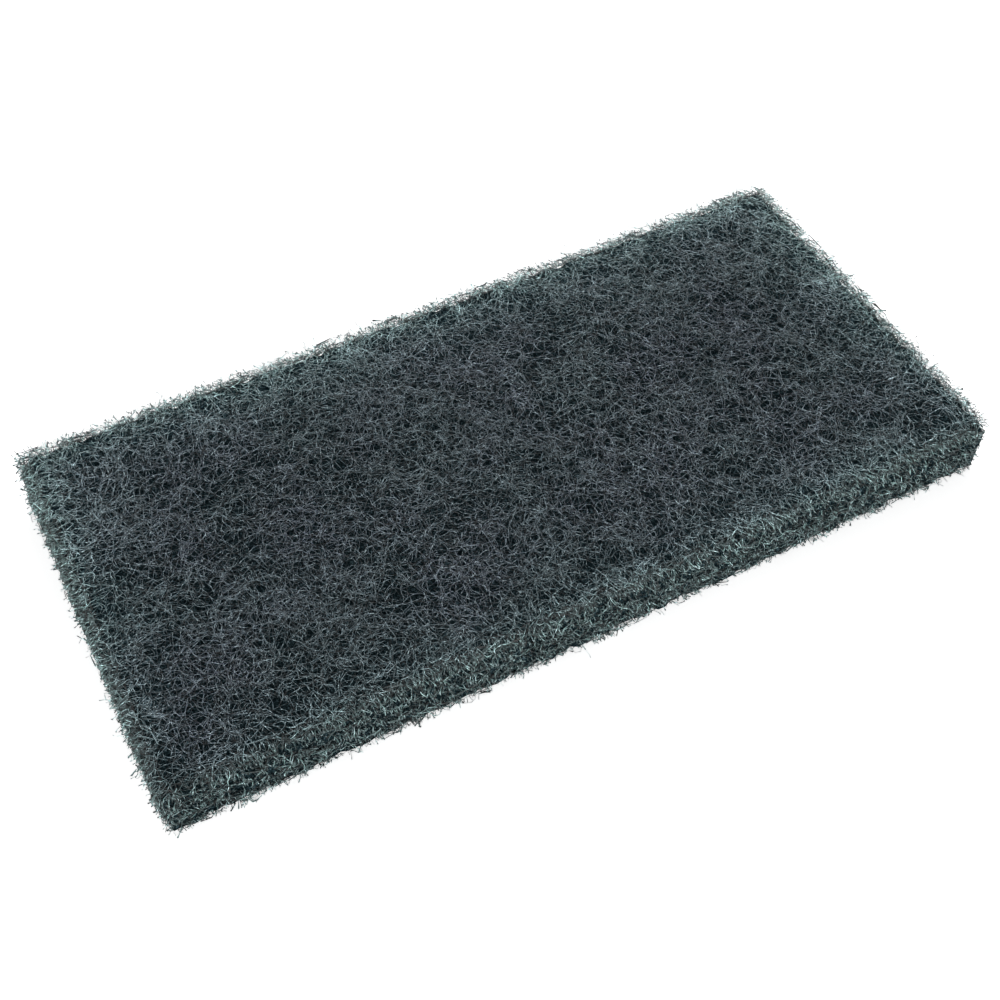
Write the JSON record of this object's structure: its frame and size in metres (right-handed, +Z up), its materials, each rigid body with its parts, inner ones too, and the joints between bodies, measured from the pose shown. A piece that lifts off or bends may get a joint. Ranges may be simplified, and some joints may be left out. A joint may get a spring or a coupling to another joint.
{
  "type": "scouring pad",
  "caption": "Thick rectangular scouring pad of open nonwoven nylon web in dark grey-green, cut square on all sides, for scrubbing by hand or under a pad holder.",
  "frame": {"origin": "middle of the flat underside that the pad lies on", "axes": "+X along the length, +Y from the front long side to the back one, +Z up through the thickness"},
  "size_m": [0.2534, 0.1163, 0.019],
  "materials": {
    "nylon_web": "matt open tangle of resin-bonded crimped nylon fibres, dark slate with a green cast, grit-dulled"
  },
  "bodies": {
    "root": {"scouring_pad": "nylon_web"}
  },
  "joints": []
}
